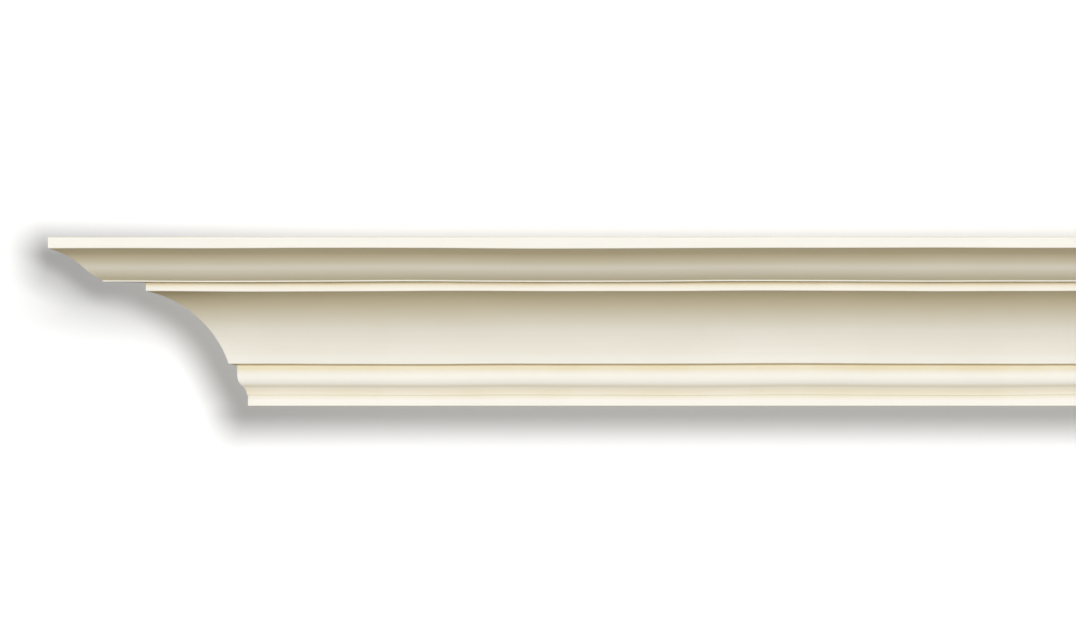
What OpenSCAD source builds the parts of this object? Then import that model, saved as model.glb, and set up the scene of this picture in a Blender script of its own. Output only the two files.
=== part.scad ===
// A length of crown moulding that covers the corner between a wall and a ceiling.
// The wall is the plane y = 0, the room lies towards -Y and the ceiling is up, towards +Z.
// The left end is mitred for an outside corner and the right end is cut square.

/* [Length and ends] */
// Length of the front edge, from the tip of the mitre to the square end
front_length = 1000; // [500:10:2400]
// Angle of the mitre at the left end, 0 for a square cut
mitre_angle = 45; // [0:1:55]

/* [Overall profile] */
// How far the moulding comes down the wall
drop = 120; // [100:1:150]
// How far the moulding reaches out along the ceiling
projection = 150; // [125:1:190]

/* [Lip] */
// Height of the flat front edge
lip_height = 8; // [4:0.5:12]
// Depth of the sloping underside behind the front edge
lip_soffit_depth = 11; // [5:0.5:14]
// Fall of that underside from the front edge towards the wall
lip_soffit_fall = 4.2; // [1:0.1:6]

/* [Upper ogee] */
// Depth of the upper ogee, hollow above and round below
upper_ogee_depth = 27; // [22:1:32]
// Height of the upper ogee
upper_ogee_height = 18.6; // [14:0.1:22]
// Angle that each of its two arcs turns through
upper_ogee_turn = 18; // [10:1:40]
// Share of the upper ogee that is hollow, in percent
upper_ogee_hollow = 50; // [35:1:65]

/* [Fillet above the cove] */
// Height of the small step that ends the upper ogee
ogee_step = 0.8; // [0.4:0.1:3]
// Depth of the underside between the upper ogee and the fillet
fillet_setback = 30; // [10:1:34]
// Fall of that underside towards the wall
setback_fall = 0.6; // [0:0.1:2]
// Height of the flat upright fillet
fillet_height = 6; // [3:0.1:10]

/* [Cove] */
// Angle that the cove turns through
cove_turn = 60; // [40:1:76]

/* [Lower ogee and foot] */
// Height of the step between the cove and the lower ogee
cove_step = 1; // [0:0.1:2]
// Depth of the step between the cove and the lower ogee
cove_step_depth = 6; // [3:0.5:10]
// Height of the flat upright above the lower ogee
lower_fillet_height = 7.1; // [2:0.1:10]
// Depth of the lower ogee, round above and hollow below
lower_ogee_depth = 6.8; // [4:0.1:10]
// Height of the lower ogee
lower_ogee_height = 14; // [10:0.5:20]
// Share of the lower ogee that is hollow, in percent
lower_ogee_hollow = 45; // [30:1:70]
// Depth of the narrow ledge between the lower ogee and the foot
foot_ledge = 0.8; // [0:0.1:2]
// Height of the flat upright foot
foot_height = 8; // [4:0.5:14]
// Thickness of the foot, from the wall to its face
foot_thickness = 10.4; // [7:0.1:16]

/* [Back] */
// Height of the flat that is glued to the wall
wall_bond_height = 51; // [36:1:66]
// Width of the flat that is glued to the ceiling
ceiling_bond_width = 81; // [60:1:92]
// Number of glue grooves in each of those two flats
groove_count = 2; // [0:2:4]
// Width of a glue groove
groove_width = 5; // [2:0.5:7]
// Depth of a glue groove
groove_depth = 1.2; // [0.5:0.1:2.5]

/* [Hidden] */

// Largest turn between two neighbouring points of an arc, in degrees
arc_step = 3;
// How far a cutting shape runs past what it cuts
cut_margin = 10;

// Plan of the length: the middle of the flat on the wall is at x = 0
wall_length = front_length - projection * tan(mitre_angle);
right_end = wall_length / 2;
mitre_tip = right_end - front_length;
bottom = -wall_bond_height / 2;

// Corners of the profile as [reach from the wall, height above the foot], from the lip down
lip_top = [projection, drop];
lip_bottom = lip_top - [0, lip_height];
ogee_top = lip_bottom - [lip_soffit_depth, lip_soffit_fall];
ogee_bottom = ogee_top - [upper_ogee_depth, upper_ogee_height];
fillet_corner = ogee_bottom - [0, ogee_step];
fillet_top = fillet_corner - [fillet_setback, setback_fall];
cove_top = fillet_top - [0, fillet_height];

// Corners of the profile from the foot up
foot_bottom = [foot_thickness, 0];
foot_top = foot_bottom + [0, foot_height];
lower_ogee_bottom = foot_top + [foot_ledge, 0];
lower_ogee_top = lower_ogee_bottom + [lower_ogee_depth, lower_ogee_height];
lower_fillet_top = lower_ogee_top + [0, lower_fillet_height];
cove_bottom = lower_fillet_top + [cove_step_depth, cove_step];
// With this turn the lower ogee is upright at both ends
lower_ogee_turn = 2 * atan(lower_ogee_depth / lower_ogee_height);

// Points of the arc from a to b that turns through an angle, to the left if it is positive
function arc(a, b, turn) =
    let (
        chord = b - a,
        heading = atan2(chord.y, chord.x) - turn / 2,
        radius = norm(chord) / (2 * sin(turn / 2)),
        steps = ceil(abs(turn) / arc_step)
    )
    [
        for (k = [0 : steps])
            let (part_turn = turn * k / steps)
                a + 2 * radius * sin(part_turn / 2)
                    * [cos(heading + part_turn / 2), sin(heading + part_turn / 2)]
    ];

// Points of an ogee from a to b: an arc one way for a share of it, in percent, then one the other way
function ogee(a, b, turn, share) =
    let (change = a + (b - a) * share / 100, second = arc(change, b, -turn))
    concat(arc(a, change, turn), [for (k = [1 : len(second) - 1]) second[k]]);

// The face that shows, from the front edge at the ceiling down to the foot at the wall
function face_points() = concat(
    [lip_top, lip_bottom],
    ogee(ogee_top, ogee_bottom, upper_ogee_turn, upper_ogee_hollow),
    [fillet_corner, fillet_top],
    arc(cove_top, cove_bottom, cove_turn),
    [lower_fillet_top],
    ogee(lower_ogee_top, lower_ogee_bottom, -lower_ogee_turn, 100 - lower_ogee_hollow),
    [foot_top, foot_bottom]
);

// The back that is hidden: the flat on the wall, the slope behind the cove, the flat on the ceiling
function back_points() = [
    [0, 0],
    [0, wall_bond_height],
    [projection - ceiling_bond_width, drop]
];

// Middle of each of groove_count places spread evenly over a flat of a given width
function groove_places(width) = [for (k = [1 : 1 : groove_count]) width * k / (groove_count + 1)];

// Outlines of the grooves, as seen along the length
module grooves_2d() {
    for (height = groove_places(wall_bond_height))
        translate([0, height])
            square([2 * groove_depth, groove_width], center = true);
    for (reach = groove_places(ceiling_bond_width))
        translate([projection - reach, drop])
            square([groove_width, 2 * groove_depth], center = true);
}

module profile_2d() {
    difference() {
        polygon(concat(face_points(), back_points()));
        grooves_2d();
    }
}

// The profile run along X, from past the mitre's tip to the square end
module straight_run() {
    translate([right_end, 0, bottom])
        rotate([90, 0, -90])
            linear_extrude(front_length + cut_margin)
                profile_2d();
}

// Everything on the waste side of the mitre saw
module mitre_waste() {
    translate([mitre_tip, -projection, bottom])
        rotate([0, 0, -mitre_angle])
            translate([-front_length, -projection, -cut_margin])
                cube([front_length, 4 * projection, drop + 2 * cut_margin]);
}

module crown_moulding() {
    color("cornsilk")
        difference() {
            straight_run();
            mitre_waste();
        }
}

crown_moulding();
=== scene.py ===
"""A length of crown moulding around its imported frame, with its finish, its studio and its camera."""

import math

import bmesh
import bpy
import numpy as np
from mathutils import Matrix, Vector, geometry


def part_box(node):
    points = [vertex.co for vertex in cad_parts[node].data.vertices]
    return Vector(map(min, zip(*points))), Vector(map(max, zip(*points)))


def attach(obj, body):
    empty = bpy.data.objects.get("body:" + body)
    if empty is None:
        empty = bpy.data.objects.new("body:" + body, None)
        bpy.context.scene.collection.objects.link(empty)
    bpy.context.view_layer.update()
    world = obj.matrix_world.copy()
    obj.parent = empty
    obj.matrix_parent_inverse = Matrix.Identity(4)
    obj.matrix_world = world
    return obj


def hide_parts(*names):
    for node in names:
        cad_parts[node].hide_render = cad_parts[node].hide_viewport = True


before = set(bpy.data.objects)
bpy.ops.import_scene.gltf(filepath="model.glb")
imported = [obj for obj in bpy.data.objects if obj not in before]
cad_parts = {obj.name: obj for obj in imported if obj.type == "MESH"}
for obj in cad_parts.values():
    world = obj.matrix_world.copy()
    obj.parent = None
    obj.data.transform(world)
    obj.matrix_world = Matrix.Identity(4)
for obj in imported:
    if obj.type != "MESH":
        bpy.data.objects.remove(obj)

bl_info = {
    "name": "Crown moulding length",
    "version": (1, 0, 0),
    "blender": (4, 5, 0),
    "location": "View3D > Sidebar > Moulding",
    "description": "Builds a primed foam crown moulding in its frame, with a small studio around it",
    "category": "Add Mesh",
}

NODE = "crown_moulding"
BODY = "root"
PIECE = "moulding_length"
PIECE_LIGHT = "piece_light"
MM = 0.001
# Two places that are this close count as one
NEAR = MM / 10

LOW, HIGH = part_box(NODE)
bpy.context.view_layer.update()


# ---------------------------------------------------------------- settings


def size(name, description, default, low=0.0):
    """A length in metres, shown in the scene's units."""
    return bpy.props.FloatProperty(
        name=name, description=description, default=default, min=low, subtype="DISTANCE", unit="LENGTH"
    )


def share(name, description, default):
    """A plain factor from 0 to 1."""
    return bpy.props.FloatProperty(
        name=name, description=description, default=default, min=0, max=1, subtype="FACTOR"
    )


def colour(name, description, default):
    """A colour, as linear red, green and blue."""
    return bpy.props.FloatVectorProperty(
        name=name, description=description, default=default, size=3, min=0, max=1, subtype="COLOR"
    )


def angle(name, description, degrees):
    """An angle, kept in radians."""
    return bpy.props.FloatProperty(
        name=name, description=description, default=math.radians(degrees), subtype="ANGLE", unit="ROTATION"
    )


def power(name, description, default):
    """The strength of a light."""
    return bpy.props.FloatProperty(name=name, description=description, default=default, min=0)


class MouldingShape(bpy.types.PropertyGroup):
    """Sizes of the cast detail that the frame leaves out."""

    arris: size("Arris", "Radius that the primer leaves on an outer corner", 0.95 * MM)
    hollow: size("Hollow", "Radius that the primer leaves in an inner corner", 1.3 * MM)
    # The hollow reach and depth shape the mask for the shade painted into hollows
    hollow_reach: size("Hollow reach", "How far to each side a hollow is measured", 7 * MM, MM)
    hollow_depth: size("Hollow depth", "Depth of a hollow that is tinted fully", 2.2 * MM, MM / 10)
    facet_cuts: bpy.props.IntProperty(
        name="Facet cuts", description="Pieces that each facet of a curve is cut into", default=3, min=1
    )
    face_step: size("Face step", "Longest step across the face", 4 * MM, MM)
    back_step: size("Back step", "Longest step across the back", 20 * MM, MM)
    stations: bpy.props.IntProperty(
        name="Stations", description="Sections along the length", default=170, min=2
    )
    wave_height: size("Wave height", "How far a long line strays up or down", 0.6 * MM)
    wave_length: size("Wave length", "Length of one wave along the moulding", 190 * MM, MM)
    wave_spread: size("Wave spread", "Height over which the waves of two lines differ", 55 * MM, MM)
    dimple_depth: size("Dimple depth", "Depth of the slow dimples in the face", 0.16 * MM)
    dimple_width: size("Dimple width", "Width of those dimples", 45 * MM, MM)
    skin: size("Skin", "Thickness of the dense skin that shows at a sawn end", 0.9 * MM)
    core_sink: size("Core sink", "How far the foam stands back from its skin at a sawn end", 0.25 * MM)
    saw_step: size("Saw step", "Distance between points on a sawn end", 2.2 * MM, MM)
    seed: bpy.props.IntProperty(
        name="Seed", description="Fixed seed for the waves, the dimples and the sawn ends", default=7
    )


class MouldingFinish(bpy.types.PropertyGroup):
    """Colours and grain of the primer, the bare back and the sawn foam, and the shade painted into the
    primer.
    """

    primer: colour("Primer", "Cream primer on the face", (0.91, 0.87, 0.775))
    # Painted shade: a warm, darker primer colour painted where shade falls, in hollows and on sides that
    # face down
    painted_shade_colour: colour("Warm primer", "Primer in a hollow or facing down", (0.72, 0.605, 0.355))
    bare: colour("Bare back", "Unpainted skin of the back", (0.80, 0.735, 0.575))
    core: colour("Core", "Fresh sawn foam", (0.83, 0.745, 0.54))
    # How strongly that painted shade darkens a hollow, and a side that faces down
    hollow_painted_shade: share("Hollow tint", "How strongly warm primer tints a hollow", 0.75)
    facing_down_painted_shade: share("Shade tint", "How strongly warm primer tints a side that faces down", 0.85)
    roughness: share("Roughness", "Roughness of the primer", 0.5)
    peel: size("Peel", "Height of the primer's fine grain", 0.018 * MM)


class MouldingStudio(bpy.types.PropertyGroup):
    """The camera, the lights, the floor and the backdrop."""

    lens: bpy.props.FloatProperty(
        name="Lens",
        description="Focal length of the camera",
        default=800,
        min=1,
        subtype="DISTANCE_CAMERA",
        unit="CAMERA",
    )
    view_width: size("View width", "Width that the camera sees at the front edge", 0.7595)
    view_left: size("View left", "Room between the mitre's tip and the left of the view", 0.0337)
    view_above: size("View above foot", "Height of the view's middle above the foot", 0.0642)
    floor_drop: size("Floor drop", "Height of the moulding's foot above the floor", 0.55)
    backdrop_gap: size("Backdrop gap", "Room between the moulding's back and the backdrop", 0.09)
    key_power: power("Key", "Strength of the key light", 3.2)
    key_colour: colour("Key colour", "Colour of the key light", (0.79, 0.85, 0.98))
    key_height: angle("Key height", "Height of the key light above the horizon", 1)
    key_side: angle("Key side", "Turn of the key light to the right", 4)
    key_softness: angle("Key softness", "Angle that the key light fills", 11)
    fill_power: power("Fill", "Strength of the fill from below", 0.65)
    fill_colour: colour("Fill colour", "Colour of the fill from below", (1.0, 0.78, 0.25))
    fill_height: angle("Fill height", "How far the fill is below the horizon", 25)
    softness: angle("Softness", "Angle that the other lights fill", 25)
    top_power: power("Top", "Strength of the light from above", 1.6)
    back_power: power("Back", "Strength of the light from behind", 1.8)
    side_power: power("Side", "Strength of the light on the square end", 1.4)
    ambient: power("Ambient", "Strength of the even light from all round", 0.03)
    drop_power: power("Drop light", "Strength of the light that throws the shadow on the backdrop", 2.55)
    drop_height: angle("Drop light height", "Height of that light above the horizon", 5.8)
    drop_side: angle("Drop light side", "Turn of that light to the right", 6.5)
    drop_softness: angle("Drop light softness", "Angle that that light fills", 20)
    floor_power: power("Floor light", "Strength of the light straight down on the floor", 1.9)
    floor_softness: angle("Floor light softness", "Angle that that light fills", 25 / 3)
    card_glow: power("Card glow", "Light that the backdrop gives off by itself", 0.3)
    flag_gap: size("Flag gap", "Room between the back and the card that shades the backdrop", 4 * MM)
    flag_spread: size("Flag spread", "How far that card reaches past the moulding's outline", 12 * MM)


# ---------------------------------------------------------------- outline of the section

# A larger turn is a corner, and a smaller one lies between two facets of a curve
CORNER_TURN = math.radians(8)
# Steps in the bend that eases a corner, and the most of a side that one bend may take
EASE_STEPS = 5
EASE_SHARE = 0.45
# Width of the strip beside a bend that stays as flat as the face next to it
SUPPORT = 0.6 * MM
# How far from the ceiling and from the foot's underside the face starts to stray fully
STEADY_TOP = 7 * MM
STEADY_FOOT = 6 * MM


def merged(node):
    """The frame's node as a bmesh with its loose triangles joined up."""
    solid = bmesh.new()
    solid.from_mesh(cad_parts[node].data)
    bmesh.ops.remove_doubles(solid, verts=solid.verts, dist=MM / 100)
    return solid


def end_section():
    """Corners of the square end as (y, z), from the lip's top down the face and back up the wall."""
    solid = merged(NODE)
    end = {f for f in solid.faces if all(abs(v.co.x - HIGH.x) < NEAR for v in f.verts)}
    rim = [e for f in end for e in f.edges if sum(g in end for g in e.link_faces) == 1]
    following = {}
    for edge in rim:
        a, b = (v.co.yz[:] for v in edge.verts)
        following.setdefault(a, []).append(b)
        following.setdefault(b, []).append(a)
    start = min(following, key=lambda p: (round(p[0], 5), -p[1]))
    loop = [start]
    step = min(following[start], key=lambda p: p[1])
    while step != start:
        loop.append(step)
        step = next(p for p in following[step] if p != loop[-2])
    solid.free()
    return np.array(loop)


def headings(points):
    """Heading of each side of a closed outline, and the turn at the corner where it starts."""
    side = np.roll(points, -1, 0) - points
    heading = np.arctan2(side[:, 1], side[:, 0])
    turn = (heading - np.roll(heading, 1) + math.pi) % (2 * math.pi) - math.pi
    return heading, turn


def smooth_runs(points, cuts):
    """The outline as runs from corner to corner, and the turn at each corner.

    Each facet of a curve becomes a cubic between its ends, cut into shorter facets.
    """
    heading, turn = headings(points)
    corner = np.abs(turn) > CORNER_TURN
    count, runs = len(points), []
    for i in range(count):
        j = (i + 1) % count
        a, b = points[i], points[j]
        if corner[i]:
            runs.append([a])
        start = heading[i] if corner[i] else heading[i] - turn[i] / 2
        end = heading[i] if corner[j] else heading[i] + turn[j] / 2
        if corner[i] and not corner[j]:
            start = 2 * heading[i] - end
        if corner[j] and not corner[i]:
            end = 2 * heading[i] - start
        reach = np.linalg.norm(b - a)
        leave = reach * np.array([math.cos(start), math.sin(start)])
        arrive = reach * np.array([math.cos(end), math.sin(end)])
        pieces = 1 if corner[i] and corner[j] else cuts
        for k in range(1, pieces + 1):
            t = k / pieces
            runs[-1].append(
                (2 * t**3 - 3 * t**2 + 1) * a
                + (t**3 - 2 * t**2 + t) * leave
                + (3 * t**2 - 2 * t**3) * b
                + (t**3 - t**2) * arrive
            )
    return [np.array(run) for run in runs], turn[corner]


def lengths_along(run):
    """How far along a run each of its points lies."""
    return np.concatenate([[0], np.cumsum(np.linalg.norm(np.diff(run, axis=0), axis=1))])


def point_at(run, along, distance):
    """The point of a run at a distance from its start."""
    return np.array([np.interp(distance, along, run[:, k]) for k in (0, 1)])


def trimmed(run, first, last, longest):
    """A run without its two ends, with extra points so that no step is too long and its ends stay flat."""
    along = lengths_along(run)
    low, high = first, along[-1] - last
    apart = MM / 50
    marks = {low, high, *(d for d in along if low + apart < d < high - apart)}
    if high - low > 4 * SUPPORT:
        marks |= {low + SUPPORT, high - SUPPORT}
    marks = sorted(marks)
    full = [marks[0]]
    for mark in marks[1:]:
        pieces = max(1, math.ceil((mark - full[-1]) / longest))
        full += list(np.linspace(full[-1], mark, pieces + 1)[1:])
    return np.array([point_at(run, along, d) for d in full])


def hollows(points, shape):
    """How deep each point lies behind its two neighbours at a set reach, from 0 to 1."""
    ring = np.concatenate([points, points, points])
    along = lengths_along(ring)
    here = along[len(points) : 2 * len(points)]
    before, after = (
        np.stack([np.interp(here + way * shape.hollow_reach, along, ring[:, k]) for k in (0, 1)], axis=1)
        for way in (-1, 1)
    )
    sag = (((before + after) / 2 - points) * -inward(points)).sum(1)
    return np.clip(sag / shape.hollow_depth, 0, 1)


def eased_outline(shape):
    """The whole outline with its corners eased.

    Gives its points, and for each whether it lies on the bare back and how deep it lies in a hollow.
    """
    runs, turns = smooth_runs(end_section(), shape.facet_cuts)
    reach = [lengths_along(run)[-1] for run in runs]
    ease = []
    for k, turn in enumerate(turns):
        radius = shape.arris if turn > 0 else shape.hollow
        most = EASE_SHARE * min(reach[k], reach[k - 1])
        ease.append(min(radius * math.tan(abs(turn) / 2), most))
    foot_back = next(k for k, run in enumerate(runs) if run[0][0] > HIGH.y - NEAR)
    points, bare = [], []
    for k, run in enumerate(runs):
        after = (k + 1) % len(runs)
        is_back = k >= foot_back
        body = trimmed(run, ease[k], ease[after], shape.back_step if is_back else shape.face_step)
        corner = run[-1]
        ahead = point_at(runs[after], lengths_along(runs[after]), ease[after])
        bend = [
            (1 - t) ** 2 * body[-1] + 2 * t * (1 - t) * corner + t**2 * ahead
            for t in np.linspace(0, 1, EASE_STEPS + 1)[1:-1]
        ]
        points += [*body, *bend]
        bare += [float(is_back)] * (len(body) + len(bend))
    points = np.array(points)
    bare = np.array(bare)
    return points, bare, hollows(points, shape) * (1 - bare)


def inward(points):
    """Unit vectors into the solid at each point of an outline that runs anticlockwise."""
    side = np.roll(points, -1, 0) - np.roll(points, 1, 0)
    side /= np.linalg.norm(side, axis=1)[:, None]
    return np.stack([-side[:, 1], side[:, 0]], axis=1)


def outline_object(shape):
    """The outline as a ring of edges that carries what the sweep needs at each point."""
    points, bare, recess = eased_outline(shape)
    count = len(points)
    mesh = bpy.data.meshes.new("section")
    mesh.from_pydata([(0, *p) for p in points], [(i, (i + 1) % count) for i in range(count)], [])
    fade_top = np.clip((HIGH.z - points[:, 1]) / STEADY_TOP, 0, 1)
    fade_foot = np.clip((points[:, 1] - LOW.z) / STEADY_FOOT, 0, 1)
    into = inward(points)
    values = {
        "across": points[:, 0],
        "height": points[:, 1],
        "into_y": into[:, 0],
        "into_z": into[:, 1],
        "bare": bare,
        "recess": recess,
        "loose": fade_top * fade_foot * (1 - bare),
    }
    for name, value in values.items():
        mesh.attributes.new(name, "FLOAT", "POINT").data.foreach_set("value", value.astype(np.float32))
    piece = bpy.data.objects.new(PIECE, mesh)
    bpy.context.scene.collection.objects.link(piece)
    return piece


# ---------------------------------------------------------------- node helpers


class Tree:
    """Adds and links nodes, with inputs by name or place."""

    def __init__(self, tree):
        self.tree = tree

    def add(self, kind, settings=None, **inputs):
        """A new node with its settings, and its inputs as put takes them."""
        node = self.tree.nodes.new(kind)
        for name, value in (settings or {}).items():
            setattr(node, name, value)
        for name, value in inputs.items():
            self.put(node, name, value)
        return node

    def put(self, node, name, value):
        """Sets or links one input. A name like _2 is a place, and an underscore in a name is a space."""
        if name[0] == "_":
            socket = node.inputs[int(name[1:])]
        else:
            wanted = name.replace("_", " ").lower()
            socket = next(s for s in node.inputs if s.name.lower() == wanted and s.enabled)
        if isinstance(value, bpy.types.NodeSocket):
            self.tree.links.new(value, socket)
        elif isinstance(value, bpy.types.Node):
            self.tree.links.new(next(o for o in value.outputs if o.enabled), socket)
        else:
            socket.default_value = value

    def math(self, operation, a, b=0.0, c=0.0, clamp=False):
        """One step of arithmetic on up to three values or sockets."""
        settings = {"operation": operation, "use_clamp": clamp}
        return self.add("ShaderNodeMath", settings, _0=a, _1=b, _2=c)


def new_group(name, kind, sockets):
    """A node group with only its sockets, each given as name, in or out, type and default.

    Gives its tree and its two end nodes.
    """
    group = bpy.data.node_groups.new(name, kind)
    for label, way, socket_type, default in sockets:
        socket = group.interface.new_socket(name=label, in_out=way, socket_type=socket_type)
        if default is not None:
            socket.default_value = default
    tree = Tree(group)
    return tree, tree.add("NodeGroupInput"), tree.add("NodeGroupOutput")


# ---------------------------------------------------------------- the sweep


def sweep_tree():
    """Runs the section from the mitre to the square end and lets its long lines stray a little."""
    number, whole = "NodeSocketFloat", "NodeSocketInt"
    tree, inputs, output = new_group(
        "run_of_moulding",
        "GeometryNodeTree",
        [
            ("Section", "INPUT", "NodeSocketGeometry", None),
            ("Stations", "INPUT", whole, 100),
            ("Mitre tip", "INPUT", number, 0.0),
            ("Square end", "INPUT", number, 1.0),
            ("Front edge", "INPUT", number, 0.0),
            ("Mitre slope", "INPUT", number, 1.0),
            ("Wave height", "INPUT", number, 0.0),
            ("Wave length", "INPUT", number, 1.0),
            ("Wave spread", "INPUT", number, 1.0),
            ("Dimple depth", "INPUT", number, 0.0),
            ("Dimple width", "INPUT", number, 1.0),
            ("Seed", "INPUT", whole, 0),
            ("Primed", "INPUT", "NodeSocketMaterial", None),
            ("Bare", "INPUT", "NodeSocketMaterial", None),
            ("Moulding", "OUTPUT", "NodeSocketGeometry", None),
        ],
    )
    give = inputs.outputs

    def stored(name):
        """What the outline or the path carries under a name."""
        node = tree.add("GeometryNodeInputNamedAttribute", {"data_type": "FLOAT"}, Name=name)
        return node.outputs["Attribute"]

    line = tree.add("GeometryNodeCurvePrimitiveLine", Start=(0, 0, 0), End=(1, 0, 0))
    path = tree.add("GeometryNodeResampleCurve", Curve=line, Count=give["Stations"])
    marked = tree.add(
        "GeometryNodeStoreNamedAttribute",
        {"data_type": "FLOAT", "domain": "POINT"},
        Geometry=path,
        Name="along",
        Value=tree.add("GeometryNodeSplineParameter").outputs["Factor"],
    )
    ring = tree.add("GeometryNodeMeshToCurve", Mesh=give["Section"])
    shell = tree.add("GeometryNodeCurveToMesh", Curve=marked, Profile_Curve=ring)

    run = tree.math("SUBTRACT", give["Square end"], give["Mitre tip"])
    rough_x = tree.math("MULTIPLY_ADD", stored("along"), run, give["Mitre tip"])

    def noise(x, y, z):
        """Slow noise from 0 to 1 at a place."""
        place = tree.add("ShaderNodeCombineXYZ", X=x, Y=y, Z=z)
        node = tree.add(
            "ShaderNodeTexNoise",
            {"noise_dimensions": "4D"},
            Vector=place,
            W=give["Seed"],
            Scale=1.0,
            Detail=1.0,
            Roughness=0.4,
        )
        return node.outputs["Fac"]

    wave_noise = noise(
        tree.math("DIVIDE", rough_x, give["Wave length"]),
        0.0,
        tree.math("DIVIDE", stored("height"), give["Wave spread"]),
    )
    # The noise stays near its middle, so its span is stretched to a wave's height both ways
    both_ways = tree.math("MULTIPLY_ADD", wave_noise, 4.0, -2.0)
    free_wave = tree.math("MULTIPLY", both_ways, give["Wave height"])
    wave = tree.math("MULTIPLY", free_wave, stored("loose"))
    dimple_noise = noise(
        tree.math("DIVIDE", rough_x, give["Dimple width"]),
        tree.math("DIVIDE", stored("across"), give["Dimple width"]),
        tree.math("DIVIDE", stored("height"), give["Dimple width"]),
    )
    free_dimple = tree.math("MULTIPLY", dimple_noise, give["Dimple depth"])
    dimple = tree.math("MULTIPLY", free_dimple, stored("loose"))
    across = tree.math("MULTIPLY_ADD", stored("into_y"), dimple, stored("across"))
    sunk = tree.math("MULTIPLY_ADD", stored("into_z"), dimple, stored("height"))
    height = tree.math("ADD", sunk, wave)
    behind = tree.math("SUBTRACT", across, give["Front edge"])
    cut = tree.math("MULTIPLY_ADD", behind, give["Mitre slope"], give["Mitre tip"])
    reach = tree.math("SUBTRACT", give["Square end"], cut)
    x = tree.math("MULTIPLY_ADD", stored("along"), reach, cut)
    placed = tree.add(
        "GeometryNodeSetPosition",
        Geometry=shell,
        Position=tree.add("ShaderNodeCombineXYZ", X=x, Y=across, Z=height),
    )
    real = tree.add("GeometryNodeRealizeInstances", Geometry=placed)
    primed = tree.add("GeometryNodeSetMaterial", Geometry=real, Material=give["Primed"])
    is_bare = tree.math("GREATER_THAN", stored("bare"), 0.9)
    backed = tree.add(
        "GeometryNodeSetMaterial", Geometry=primed, Selection=is_bare, Material=give["Bare"]
    )
    tree.put(output, "Moulding", backed.outputs[0])
    return tree.tree


def mitre_slope():
    """How far the mitred end moves along the length for each metre towards the wall, from the frame."""
    solid = merged(NODE)
    wall = min(v.co.x for v in solid.verts if v.co.y > HIGH.y - NEAR)
    solid.free()
    return (wall - LOW.x) / (HIGH.y - LOW.y)


def sweep(piece, shape, primed, bare):
    """Runs the sweep on the outline and keeps its result as a plain mesh."""
    group = sweep_tree()
    modifier = piece.modifiers.new("sweep", "NODES")
    modifier.node_group = group
    values = {
        "Stations": shape.stations,
        "Mitre tip": LOW.x,
        "Square end": HIGH.x,
        "Front edge": LOW.y,
        "Mitre slope": mitre_slope(),
        "Wave height": shape.wave_height,
        "Wave length": shape.wave_length,
        "Wave spread": shape.wave_spread,
        "Dimple depth": shape.dimple_depth,
        "Dimple width": shape.dimple_width,
        "Seed": shape.seed,
        "Primed": primed,
        "Bare": bare,
    }
    for item in group.interface.items_tree:
        if item.in_out == "INPUT" and item.name in values:
            modifier[item.identifier] = values[item.name]
    depsgraph = bpy.context.evaluated_depsgraph_get()
    mesh = bpy.data.meshes.new_from_object(
        piece.evaluated_get(depsgraph), preserve_all_data_layers=True, depsgraph=depsgraph
    )
    piece.modifiers.remove(modifier)
    piece.data = mesh


# ---------------------------------------------------------------- the sawn ends

# Shares of the skin's thickness: room from the outline to the row of points under the skin and to the
# foam's loose grid, room between two points of that row, and the depth from which a point is foam
ROW_ROOM = 0.97
GRID_ROOM = 1.6
ROW_STEP = 0.6
FOAM_FROM = 0.9
# How far a point of the grid may stray, as a share of the grid's step
GRID_STRAY = 0.3
# An edge that turns more than this is shaded as sharp
SHARP_TURN = math.radians(35)


def inside(points, loop):
    """Which points lie within a closed outline."""
    a, b = loop, np.roll(loop, -1, 0)
    above = (a[:, 1] > points[:, 1:2]) != (b[:, 1] > points[:, 1:2])
    rise = np.where(b[:, 1] == a[:, 1], 1, b[:, 1] - a[:, 1])
    crossing = a[:, 0] + (points[:, 1:2] - a[:, 1]) / rise * (b[:, 0] - a[:, 0])
    return (above & (points[:, 0:1] < crossing)).sum(1) % 2 == 1


def distance_to(points, loop):
    """Distance from each point to a closed outline."""
    a, side = loop, np.roll(loop, -1, 0) - loop
    to = points[:, None] - a[None]
    t = np.clip((to * side).sum(2) / np.maximum((side * side).sum(1), 1e-18), 0, 1)
    return np.linalg.norm(to - t[..., None] * side, axis=2).min(1)


def sawn_points(loop, shape):
    """Points within a sawn end: a row just under the skin, and a loose grid over the foam."""
    under_skin = loop + inward(loop) * shape.skin
    random = np.random.default_rng(shape.seed)
    low, high = loop.min(0), loop.max(0)
    ys = np.arange(low[0], high[0], shape.saw_step)
    zs = np.arange(low[1], high[1], shape.saw_step)
    grid = np.stack(np.meshgrid(ys, zs), axis=-1).reshape(-1, 2)
    grid += random.uniform(-GRID_STRAY, GRID_STRAY, grid.shape) * shape.saw_step
    grid = grid[inside(grid, loop)]
    grid = grid[distance_to(grid, loop) > shape.skin * GRID_ROOM]
    row = under_skin[inside(under_skin, loop)]
    row = row[distance_to(row, loop) > shape.skin * ROW_ROOM]
    kept = []
    for point in row:
        if not kept or min(np.linalg.norm(np.array(kept) - point, axis=1)) > shape.skin * ROW_STEP:
            kept.append(point)
    return np.concatenate([np.array(kept), grid])


def in_order(rim):
    """The vertices of an open rim in order, anticlockwise as seen in y and z, and their places there."""
    order = [rim[0].verts[0], rim[0].verts[1]]
    left = set(rim[1:])
    while left:
        edge = next((e for e in order[-1].link_edges if e in left), None)
        if edge is None:
            raise RuntimeError("the rim of a sawn end isn't one loop")
        left.discard(edge)
        order.append(edge.other_vert(order[-1]))
    order.pop()
    loop = np.array([v.co.yz for v in order])
    area = (loop[:, 0] * np.roll(loop[:, 1], -1) - np.roll(loop[:, 0], -1) * loop[:, 1]).sum()
    return (order, loop) if area > 0 else (order[::-1], loop[::-1])


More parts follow.
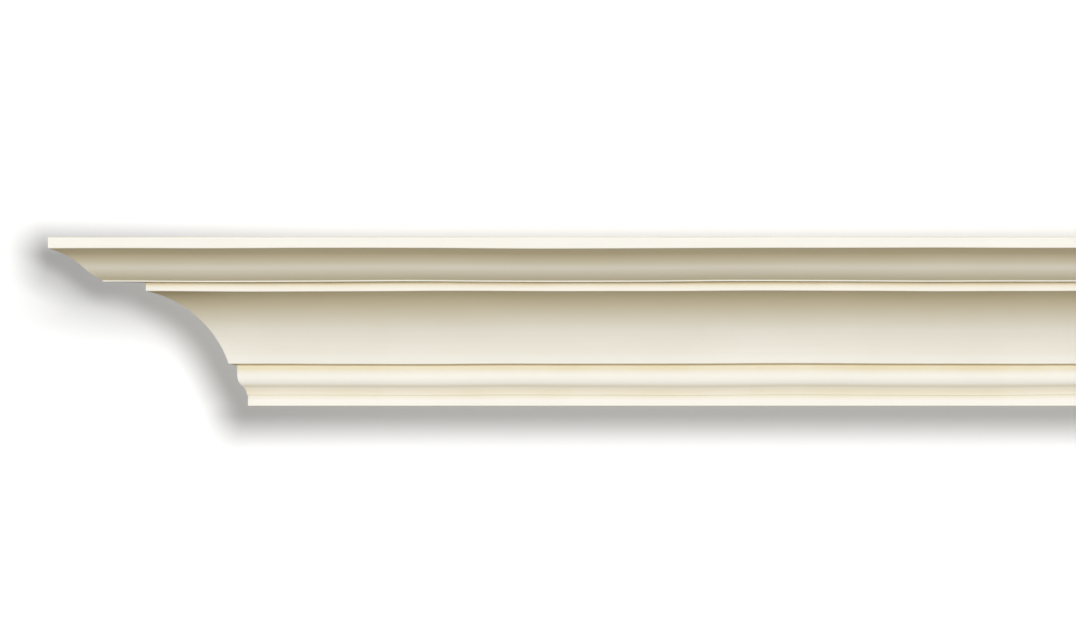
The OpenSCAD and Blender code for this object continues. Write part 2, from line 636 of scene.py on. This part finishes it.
def triangles_within(loop, fresh):
    """Triangles over an outline and the points within it, numbered through both."""
    places = np.concatenate([loop, fresh])
    outline, only_inside, merge_within = list(range(len(loop))), 1, 1e-9
    points, _, triangles, *_ = geometry.delaunay_2d_cdt(
        [Vector(p) for p in places], [], [outline], only_inside, merge_within, False
    )
    if len(points) != len(places):
        raise RuntimeError("a sawn end's points fell together")
    triangles = np.array(triangles)
    # Some triangles bridge the outline's hollows, and are left out
    return triangles[inside(places[triangles].mean(1), loop)]


def close_end(solid, rim, shape, x_at, into, material_index):
    """Closes one end of the shell with a sawn face whose foam stands a little behind its skin."""
    core = solid.verts.layers.float["core"]
    verts, loop = in_order(rim)
    fresh = sawn_points(loop, shape)
    depth = shape.core_sink * (distance_to(fresh, loop) > shape.skin * FOAM_FROM)
    for (y, z), sink in zip(fresh, depth):
        vert = solid.verts.new(Vector((x_at(y), y, z)) + into * sink)
        vert[core] = 1.0
        verts.append(vert)
    for triangle in triangles_within(loop, fresh):
        face = solid.faces.new([verts[i] for i in triangle])
        face.material_index = material_index


def finish_mesh(piece, shape, sawn):
    """Closes both ends, turns every face outwards and marks the sharp edges."""
    data = piece.data
    data.materials.append(sawn)
    index = len(data.materials) - 1
    solid = bmesh.new()
    solid.from_mesh(data)
    solid.verts.layers.float.new("core")
    along = solid.verts.layers.float["along"]
    open_edges = [e for e in solid.edges if len(e.link_faces) == 1]
    slope = mitre_slope()
    mitre, square = Vector((1, -slope, 0)).normalized(), Vector((-1, 0, 0))
    ends = (
        (0, lambda y: LOW.x + (y - LOW.y) * slope, mitre),
        (1, lambda y: HIGH.x, square),
    )
    for end, x_at, into in ends:
        rim = [e for e in open_edges if round(e.verts[0][along]) == end]
        close_end(solid, rim, shape, x_at, into, index)
    bmesh.ops.recalc_face_normals(solid, faces=solid.faces)
    for face in solid.faces:
        face.smooth = True
    for edge in solid.edges:
        edge.smooth = edge.calc_face_angle(0) < SHARP_TURN
    if any(len(e.link_faces) != 2 for e in solid.edges):
        raise RuntimeError("the moulding's mesh isn't closed")
    solid.to_mesh(data)
    solid.free()


# ---------------------------------------------------------------- finishes

# How far a side faces down where its painted shade starts, from 0 for upright to 1 for level
SHADE_FROM = 0.62


def grain_group():
    """Fine grain of a sprayed or moulded skin: a height, and a slow tone that goes with it."""
    number, vector = "NodeSocketFloat", "NodeSocketVector"
    tree, inputs, output = new_group(
        "skin_grain",
        "ShaderNodeTree",
        [
            ("Place", "INPUT", vector, None),
            ("Grain", "INPUT", number, 900.0),
            ("Height", "OUTPUT", number, None),
            ("Tone", "OUTPUT", number, None),
        ],
    )
    fine = tree.add(
        "ShaderNodeTexNoise",
        Vector=inputs.outputs["Place"],
        Scale=inputs.outputs["Grain"],
        Detail=3.0,
        Roughness=0.55,
    )
    broad_scale = tree.math("MULTIPLY", inputs.outputs["Grain"], 0.02)
    broad = tree.add(
        "ShaderNodeTexNoise", Vector=inputs.outputs["Place"], Scale=broad_scale, Detail=4.0
    )
    tree.put(output, "Height", fine.outputs["Fac"])
    tree.put(output, "Tone", broad.outputs["Fac"])
    return tree.tree


def streak_group():
    """Faint streaks that run along the length, as a mould's polish or a sander leaves them."""
    number, vector = "NodeSocketFloat", "NodeSocketVector"
    tree, inputs, output = new_group(
        "long_streaks",
        "ShaderNodeTree",
        [
            ("Place", "INPUT", vector, None),
            ("Across", "INPUT", number, 400.0),
            ("Along", "INPUT", number, 4.0),
            ("Streak", "OUTPUT", number, None),
        ],
    )
    squeeze = tree.add(
        "ShaderNodeCombineXYZ",
        X=inputs.outputs["Along"],
        Y=inputs.outputs["Across"],
        Z=inputs.outputs["Across"],
    )
    place = tree.add(
        "ShaderNodeVectorMath", {"operation": "MULTIPLY"}, _0=inputs.outputs["Place"], _1=squeeze
    )
    streak = tree.add("ShaderNodeTexNoise", Vector=place, Scale=1.0, Detail=3.0, Roughness=0.6)
    tree.put(output, "Streak", streak.outputs["Fac"])
    return tree.tree


def use(tree, group, **inputs):
    """Places a node group, with its inputs."""
    node = tree.tree.nodes.new("ShaderNodeGroup")
    node.node_tree = group
    for name, value in inputs.items():
        tree.put(node, name, value)
    return node


def blank_material(name):
    """A material with its tree, its Principled shader and its Object coordinates."""
    material = bpy.data.materials.new(name)
    material.use_nodes = True
    tree = Tree(material.node_tree)
    shader = next(n for n in material.node_tree.nodes if n.type == "BSDF_PRINCIPLED")
    place = tree.add("ShaderNodeTexCoord").outputs["Object"]
    return material, tree, shader, place


def mixed(tree, factor, a, b):
    """Colour a with b over it by a factor."""
    node = tree.add("ShaderNodeMix", {"data_type": "RGBA"})
    for socket, value in zip((s for s in node.inputs if s.enabled), (factor, a, b)):
        if isinstance(value, bpy.types.NodeSocket):
            tree.tree.links.new(value, socket)
        elif isinstance(value, (int, float)):
            socket.default_value = value
        else:
            socket.default_value = (*value, 1.0)
    return next(o for o in node.outputs if o.enabled)


def spread(tree, value, low, high, to_low, to_high):
    """A value's span low to high, carried to another span."""
    node = tree.add(
        "ShaderNodeMapRange",
        Value=value,
        From_Min=low,
        From_Max=high,
        To_Min=to_low,
        To_Max=to_high,
    )
    return node.outputs["Result"]


def attribute(tree, name):
    """What the mesh carries under a name."""
    return tree.add("ShaderNodeAttribute", {"attribute_name": name}).outputs["Fac"]


def darker(rgb, amount):
    """A colour with only an amount of its light."""
    return tuple(c * amount for c in rgb)


def mottled(tree, skin, rgb, amount):
    """A colour that a skin's slow tone turns darker in places, down to an amount of its light."""
    tone = spread(tree, skin.outputs["Tone"], 0.3, 0.7, 0.0, 1.0)
    return mixed(tree, tone, rgb, darker(rgb, amount))


def primer_material(finish, grain, streaks):
    """Cream primer on the face, with a warm, darker shade painted into hollows and onto sides that face
    down.
    """
    material, tree, shader, place = blank_material("cream_primer")
    skin = use(tree, grain, Place=place, Grain=850.0)
    lines = use(tree, streaks, Place=place, Across=420.0, Along=5.0)
    base = mottled(tree, skin, finish.primer, 0.965)
    streaked = mixed(
        tree,
        spread(tree, lines.outputs["Streak"], 0.35, 0.7, 0.0, 0.35),
        base,
        darker(finish.primer, 0.93),
    )
    patchy = spread(tree, skin.outputs["Tone"], 0.35, 0.65, 0.7, 1.0)
    # Painted shade: hollows, from the recess mask, and sides that face down are mixed towards the warm
    # shade colour
    hollow = tree.math("MULTIPLY", attribute(tree, "recess"), patchy)
    facing_down = spread(tree, attribute(tree, "into_z"), SHADE_FROM, 1.0, 0.0, finish.facing_down_painted_shade)
    tint = tree.math("MULTIPLY_ADD", hollow, finish.hollow_painted_shade, facing_down, clamp=True)
    tinted = mixed(tree, tint.outputs[0], streaked, finish.painted_shade_colour)
    tree.put(shader, "Base_Color", tinted)
    rough = tree.math("MULTIPLY_ADD", skin.outputs["Tone"], 0.12, finish.roughness - 0.06)
    tree.put(shader, "Roughness", rough)
    shader.inputs["Specular IOR Level"].default_value = 0.35
    bump = tree.add(
        "ShaderNodeBump", Height=skin.outputs["Height"], Strength=1.0, Distance=finish.peel
    )
    tree.put(shader, "Normal", bump)
    return material


def bare_material(finish, grain, streaks):
    """The unpainted back: a dull moulded skin, sanded along the length."""
    material, tree, shader, place = blank_material("bare_skin")
    skin = use(tree, grain, Place=place, Grain=600.0)
    lines = use(tree, streaks, Place=place, Across=700.0, Along=9.0)
    base = mottled(tree, skin, finish.bare, 0.9)
    sanded = mixed(
        tree,
        spread(tree, lines.outputs["Streak"], 0.4, 0.7, 0.0, 0.6),
        base,
        darker(finish.bare, 0.8),
    )
    tree.put(shader, "Base_Color", sanded)
    rough = tree.math("MULTIPLY_ADD", lines.outputs["Streak"], 0.2, 0.65)
    tree.put(shader, "Roughness", rough)
    shader.inputs["Specular IOR Level"].default_value = 0.3
    both = tree.math("MULTIPLY_ADD", lines.outputs["Streak"], 0.8, skin.outputs["Height"])
    bump = tree.add("ShaderNodeBump", Height=both, Strength=1.0, Distance=0.04 * MM)
    tree.put(shader, "Normal", bump)
    return material


def sawn_material(finish, grain):
    """A sawn end: a dense skin round foam with fine open cells and faint saw marks, the sunk middle of
    each cell painted darker as shade.
    """
    material, tree, shader, place = blank_material("sawn_foam")
    skin = use(tree, grain, Place=place, Grain=500.0)
    core = attribute(tree, "core")
    cells = tree.add("ShaderNodeTexVoronoi", Vector=place, Scale=900.0)
    pits = spread(tree, cells.outputs["Distance"], 0.1, 0.6, 0.0, 1.0)
    foam = mottled(tree, skin, finish.core, 0.93)
    # Painted shade: the middle of each open cell, where the bump sinks, is painted darker
    foam_cell_shade = mixed(tree, spread(tree, pits, 0.0, 1.0, 0.35, 0.0), foam, darker(finish.core, 0.62))
    rim = mixed(tree, core, darker(finish.bare, 0.97), foam_cell_shade)
    tree.put(shader, "Base_Color", rim)
    shader.inputs["Roughness"].default_value = 0.85
    shader.inputs["Specular IOR Level"].default_value = 0.2
    marks = tree.add(
        "ShaderNodeTexWave",
        {"wave_type": "RINGS", "rings_direction": "X"},
        Vector=tree.add(
            "ShaderNodeMapping", Vector=place, Location=(0.0, 0.35, 0.28), Scale=(0.3, 1.0, 1.0)
        ),
        Scale=55.0,
        Distortion=1.5,
        Detail=2.0,
    )
    height = tree.math("MULTIPLY_ADD", marks.outputs["Fac"], 0.5, tree.math("MULTIPLY", pits, core))
    bump = tree.add("ShaderNodeBump", Height=height, Strength=1.0, Distance=0.16 * MM)
    tree.put(shader, "Normal", bump)
    return material


# ---------------------------------------------------------------- the studio


def stage_material(name):
    """A material with its tree and its output, and no shader yet."""
    material = bpy.data.materials.new(name)
    material.use_nodes = True
    nodes = material.node_tree.nodes
    nodes.remove(next(n for n in nodes if n.type == "BSDF_PRINCIPLED"))
    return material, Tree(material.node_tree), next(n for n in nodes if n.type == "OUTPUT_MATERIAL")


def card_material(studio):
    """A pale card that only the camera sees, and only from its front, so that it throws no light back."""
    material, tree, output = stage_material("pale_card")
    paint = tree.add("ShaderNodeBsdfDiffuse", Color=(0.9, 0.9, 0.9, 1))
    lit = tree.add("ShaderNodeEmission", Color=(1, 1, 1, 1), Strength=studio.card_glow)
    card = tree.add("ShaderNodeAddShader", _0=paint, _1=lit)
    clear = tree.add("ShaderNodeBsdfTransparent")
    behind = tree.add("ShaderNodeNewGeometry").outputs["Backfacing"]
    seen = tree.add("ShaderNodeLightPath").outputs["Is Camera Ray"]
    shown = tree.math("MULTIPLY", seen, tree.math("SUBTRACT", 1.0, behind))
    both = tree.add("ShaderNodeMixShader", _0=shown, _1=clear, _2=card)
    tree.put(output, "Surface", both)
    return material


def flag_material():
    """Stops light that comes from the front, and lets light from behind through to the moulding's back."""
    material, tree, output = stage_material("black_flag")
    black = tree.add("ShaderNodeBsdfDiffuse", Color=(0, 0, 0, 1))
    clear = tree.add("ShaderNodeBsdfTransparent")
    behind = tree.add("ShaderNodeNewGeometry").outputs["Backfacing"]
    both = tree.add("ShaderNodeMixShader", _0=behind, _1=clear, _2=black)
    tree.put(output, "Surface", both)
    return material


def staged(name, verts, faces, material):
    """A thing of the studio, which isn't part of the object."""
    mesh = bpy.data.meshes.new(name)
    mesh.from_pydata(verts, [], faces)
    for polygon in mesh.polygons:
        polygon.use_smooth = True
    mesh.update()
    mesh.materials.append(material)
    thing = bpy.data.objects.new(name, mesh)
    bpy.context.scene.collection.objects.link(thing)
    return thing


def sweep_card(studio):
    """Floor and backdrop in one piece, with a wide bend where they meet."""
    back = HIGH.y + studio.backdrop_gap
    floor = LOW.z - studio.floor_drop
    bend, steps = 0.3, 12
    half_width, forward, up = 4.0, 6.0, 3.0
    side = [(-forward, floor), (back - bend, floor)]
    for k in range(1, steps + 1):
        turn = math.pi / 2 * k / steps
        side.append((back - bend + bend * math.sin(turn), floor + bend - bend * math.cos(turn)))
    side.append((back, up))
    middle = (LOW.x + HIGH.x) / 2
    verts = [(middle + s * half_width, y, z) for s in (-1, 1) for y, z in side]
    count = len(side)
    faces = [(i, i + count, i + count + 1, i + 1) for i in range(count - 1)]
    return staged("studio_sweep", verts, faces, card_material(studio))


def shadow_flag(studio):
    """A flat card behind the moulding, a little larger than its outline, that shades the backdrop."""
    section, slope, grow = end_section(), mitre_slope(), studio.flag_spread
    foot = next(i for i, point in enumerate(section) if point[1] < LOW.z + NEAR)
    left = np.array([(LOW.x + (y - LOW.y) * slope, z) for y, z in section[: foot + 1]])
    side = np.gradient(left, axis=0)
    side /= np.linalg.norm(side, axis=1)[:, None]
    left = left + np.stack([side[:, 1], -side[:, 0]], axis=1) * grow
    left[0, 1] = HIGH.z + grow
    left = np.concatenate([left, [(left[-1, 0], LOW.z - grow)]])
    # It only ever goes down, so that no two strips of the card cross
    left[:, 1] = np.minimum.accumulate(left[:, 1])
    right, y, count = HIGH.x + grow, HIGH.y + studio.flag_gap, len(left)
    verts = [(x, y, z) for x, z in left] + [(right, y, z) for _, z in left]
    faces = [(i, i + 1, count + i + 1, count + i) for i in range(count - 1)]
    flag = staged("studio_flag", verts, faces, flag_material())
    for way in ("camera", "diffuse", "glossy", "transmission", "volume_scatter"):
        setattr(flag, "visible_" + way, False)


def light_group(name):
    """A collection that a light may be kept to, made at its first use."""
    return bpy.data.collections.get(name) or bpy.data.collections.new(name)


def sun(name, strength, tint, towards, softness, lights_only, glossy=True):
    """A broad even light that shines along a direction, on one collection only."""
    data = bpy.data.lights.new(name, "SUN")
    data.energy, data.color, data.angle = strength, tint, softness
    lamp = bpy.data.objects.new(name, data)
    lamp.rotation_mode = "QUATERNION"
    lamp.rotation_quaternion = Vector(towards).to_track_quat("-Z", "Y")
    lamp.visible_glossy = glossy
    lamp.light_linking.receiver_collection = lights_only
    bpy.context.scene.collection.objects.link(lamp)


def way_from(height, side):
    """The direction that light travels in from a height above the horizon and a turn to the right."""
    return (-math.sin(side) * math.cos(height), math.cos(side) * math.cos(height), -math.sin(height))


def light_studio(studio, card):
    """Lights the moulding from the front, its other sides from round about, and the backdrop by itself."""
    piece, backdrop = light_group(PIECE_LIGHT), light_group("backdrop_light")
    backdrop.objects.link(card)
    white, soft = (1, 1, 1), studio.softness
    key = way_from(studio.key_height, studio.key_side)
    sun("key", studio.key_power, studio.key_colour, key, studio.key_softness, piece, False)
    fill = way_from(-studio.fill_height, 0)
    sun("fill", studio.fill_power, studio.fill_colour, fill, soft, piece, False)
    from_above, from_behind, from_the_end = (0.0, 0.05, -1.0), (0.25, -0.9, -0.45), (-1.0, 0.1, -0.25)
    sun("top", studio.top_power, white, from_above, soft, piece)
    sun("back", studio.back_power, white, from_behind, soft, piece)
    sun("side", studio.side_power, white, from_the_end, soft, piece)
    drop = way_from(studio.drop_height, studio.drop_side)
    sun("drop", studio.drop_power, white, drop, studio.drop_softness, backdrop)
    sun("floor", studio.floor_power, white, (0.0, 0.0, -1.0), studio.floor_softness, backdrop)
    world = bpy.data.worlds.new("studio_air")
    world.use_nodes = True
    tree = Tree(world.node_tree)
    ground = next(n for n in world.node_tree.nodes if n.type == "BACKGROUND")
    seen = tree.add("ShaderNodeLightPath").outputs["Is Camera Ray"]
    tree.put(ground, "Strength", spread(tree, seen, 0.0, 1.0, studio.ambient, 1.0))
    ground.inputs["Color"].default_value = (1, 1, 1, 1)
    bpy.context.scene.world = world


def place_camera(studio):
    """A long lens square on to the front, with a little room left of the mitre's tip."""
    data = bpy.data.cameras.new("camera")
    data.lens = studio.lens
    camera = bpy.data.objects.new("camera", data)
    bpy.context.scene.collection.objects.link(camera)
    away = studio.view_width * data.lens / data.sensor_width
    across = LOW.x - studio.view_left + studio.view_width / 2
    camera.location = (across, LOW.y - away, LOW.z + studio.view_above)
    camera.rotation_euler = (math.pi / 2, 0, 0)
    data.clip_end = 2 * away + 20
    bpy.context.scene.camera = camera


# ---------------------------------------------------------------- add-on


class MOULDING_OT_length(bpy.types.Operator):
    """Build the moulding: its eased section, its sweep, its sawn ends and its finishes"""

    bl_idname = "moulding.length"
    bl_label = "Moulding length"

    def execute(self, context):
        shape, finish = context.scene.moulding_shape, context.scene.moulding_finish
        grain, streaks = grain_group(), streak_group()
        primed = primer_material(finish, grain, streaks)
        bare = bare_material(finish, grain, streaks)
        piece = outline_object(shape)
        sweep(piece, shape, primed, bare)
        finish_mesh(piece, shape, sawn_material(finish, grain))
        light_group(PIECE_LIGHT).objects.link(piece)
        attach(piece, BODY)
        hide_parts(NODE)
        return {"FINISHED"}


class MOULDING_OT_studio(bpy.types.Operator):
    """Set up the pale floor and backdrop, the lights and the camera"""

    bl_idname = "moulding.studio"
    bl_label = "Studio"

    def execute(self, context):
        studio = context.scene.moulding_studio
        card = sweep_card(studio)
        shadow_flag(studio)
        light_studio(studio, card)
        place_camera(studio)
        context.scene.view_settings.view_transform = "Standard"
        return {"FINISHED"}


class MOULDING_PT_panel(bpy.types.Panel):
    """Lists the moulding's operators and settings"""

    bl_idname = "MOULDING_PT_panel"
    bl_label = "Crown moulding"
    bl_space_type = "VIEW_3D"
    bl_region_type = "UI"
    bl_category = "Moulding"

    def draw(self, context):
        for operator in OPERATORS:
            self.layout.operator(operator.bl_idname)
        for group in SETTINGS:
            owner = getattr(context.scene, group)
            box = self.layout.box()
            for name in owner.bl_rna.properties.keys():
                if name not in ("rna_type", "name"):
                    box.prop(owner, name)


OPERATORS = (MOULDING_OT_length, MOULDING_OT_studio)
SETTINGS = {
    "moulding_shape": MouldingShape,
    "moulding_finish": MouldingFinish,
    "moulding_studio": MouldingStudio,
}


def register():
    for cls in (*SETTINGS.values(), *OPERATORS, MOULDING_PT_panel):
        bpy.utils.register_class(cls)
    for name, group in SETTINGS.items():
        setattr(bpy.types.Scene, name, bpy.props.PointerProperty(type=group))


def unregister():
    for name in SETTINGS:
        delattr(bpy.types.Scene, name)
    for cls in reversed((*SETTINGS.values(), *OPERATORS, MOULDING_PT_panel)):
        bpy.utils.unregister_class(cls)


def main():
    """Builds the studio and the moulding."""
    register()
    bpy.ops.moulding.studio()
    bpy.ops.moulding.length()


if __name__ == "__main__":
    main()
